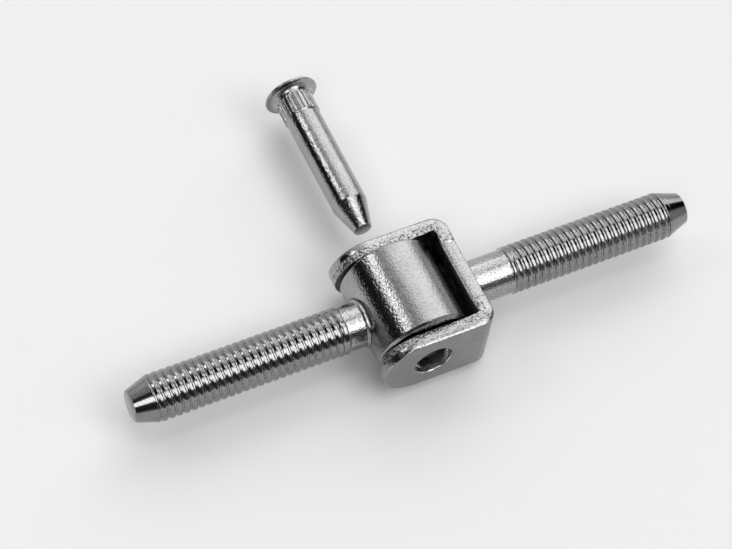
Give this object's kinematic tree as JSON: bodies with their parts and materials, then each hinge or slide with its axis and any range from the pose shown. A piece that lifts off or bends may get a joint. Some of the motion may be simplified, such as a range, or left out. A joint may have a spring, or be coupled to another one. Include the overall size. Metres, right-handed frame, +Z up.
{
  "type": "bolt hinge",
  "caption": "Bolt hinge: a fork bracket and an eye barrel, each on a threaded stud, joined by a knurled pin with a tapered end.",
  "frame": {"origin": "where the axis of the hinge pin crosses the common axis of the two studs, midway between the fork's ears", "axes": "+X along the fork's stud towards its tip, +Y along the pin towards its head, +Z up along the width of the fork's bar"},
  "size_m": [0.1994, 0.1121, 0.0326],
  "materials": {
    "zinc_bar": "bright zinc on flat bar, dull on its faces and speckled on its cut edges",
    "zinc_thread": "bright zinc on a rolled thread",
    "zinc_turned": "bright zinc on turned steel, slightly grained"
  },
  "bodies": {
    "fork": {"fork_bracket": "zinc_bar", "fork_stud": "zinc_thread"},
    "eye": {"eye_barrel": "zinc_turned", "eye_stud": "zinc_thread"},
    "pin": {"hinge_pin": "zinc_turned"}
  },
  "joints": [
    {"name": "swing", "type": "hinge", "parent": "fork", "child": "eye", "pos_m": [0, 0, 0], "axis": [0, 1, 0], "range_deg": [-120, 120]},
    {"name": "pin_drive", "type": "slide", "parent": "fork", "child": "pin", "axis": [0, -1, 0], "range_m": [0, 0.066]}
  ]
}
